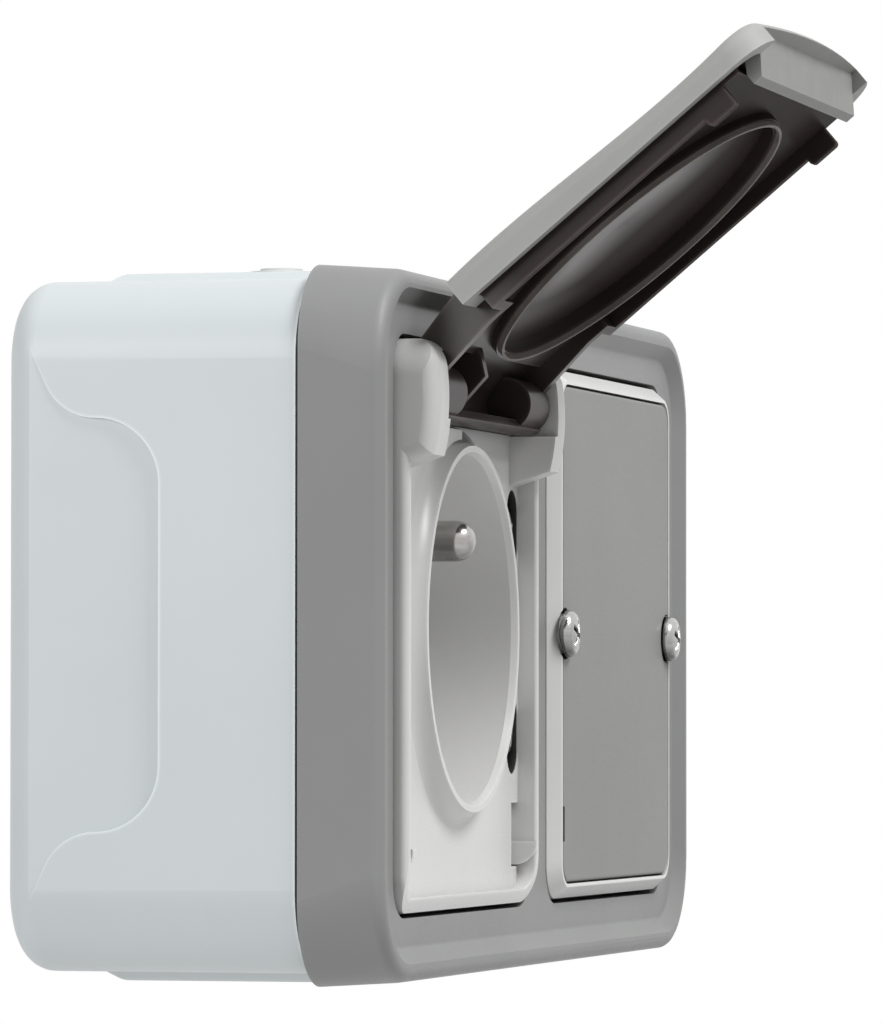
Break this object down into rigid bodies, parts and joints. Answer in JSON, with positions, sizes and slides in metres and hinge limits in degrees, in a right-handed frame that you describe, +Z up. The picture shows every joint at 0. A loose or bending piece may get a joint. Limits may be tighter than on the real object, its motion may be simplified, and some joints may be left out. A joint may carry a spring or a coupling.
{
  "type": "outdoor weatherproof socket",
  "caption": "Surface-mounted weatherproof socket with an earth pin in a round well under a hinged lid, beside a blanked gang, in a shared box and cover.",
  "frame": {"origin": "centre of the back face, on the wall plane", "axes": "+X to the right seen from the front, +Y into the wall, +Z up"},
  "size_m": [0.1544, 0.086, 0.1091],
  "materials": {
    "box_plastic": "fine satin, pale blue-grey",
    "cover_plastic": "fine satin, mid grey",
    "module_plastic": "smooth, light grey",
    "plate_plastic": "fine satin, mid grey",
    "lid_plastic": "fine satin, mid grey",
    "liner_plastic": "smooth charcoal",
    "base_plastic": "plain moulded",
    "membrane_rubber": "soft pale rubber",
    "dark_rubber": "black sealing rubber",
    "seal_rubber": "grey sealing rubber",
    "zinc_steel": "bright zinc plate",
    "nickel": "satin nickel plate",
    "contact_brass": "plain brass",
    "spring_steel": "drawn wire"
  },
  "bodies": {
    "housing": {"back_box": "box_plastic", "entry_membranes": "membrane_rubber", "cover_gasket": "dark_rubber", "front_cover": "cover_plastic", "socket_gasket": "dark_rubber", "blank_gasket": "dark_rubber", "socket_front": "module_plastic", "socket_fixing_screws": "zinc_steel", "socket_base": "base_plastic", "base_screws": "zinc_steel", "line_contact": "contact_brass", "neutral_contact": "contact_brass", "earth_terminal": "contact_brass", "earth_pin": "nickel", "terminal_screws": "zinc_steel", "shutter_spring": "spring_steel", "blank_frame": "module_plastic", "blank_plate": "plate_plastic", "blank_plate_screws": "zinc_steel"},
    "lid": {"lid_shell": "lid_plastic", "lid_liner": "liner_plastic", "lid_seal": "seal_rubber"},
    "shutter": {"shutter": "base_plastic"}
  },
  "joints": [
    {"name": "lid_hinge", "type": "hinge", "parent": "housing", "child": "lid", "pos_m": [-0.0355, -0.0442, 0.027], "axis": [1, 0, 0], "range_deg": [0, 130]},
    {"name": "shutter_slide", "type": "slide", "parent": "housing", "child": "shutter", "axis": [0, 0, -1], "range_m": [0, 0.0062], "stiffness_N_per_m": 60, "springref_m": -0.004, "deforming": ["shutter_spring"]}
  ]
}
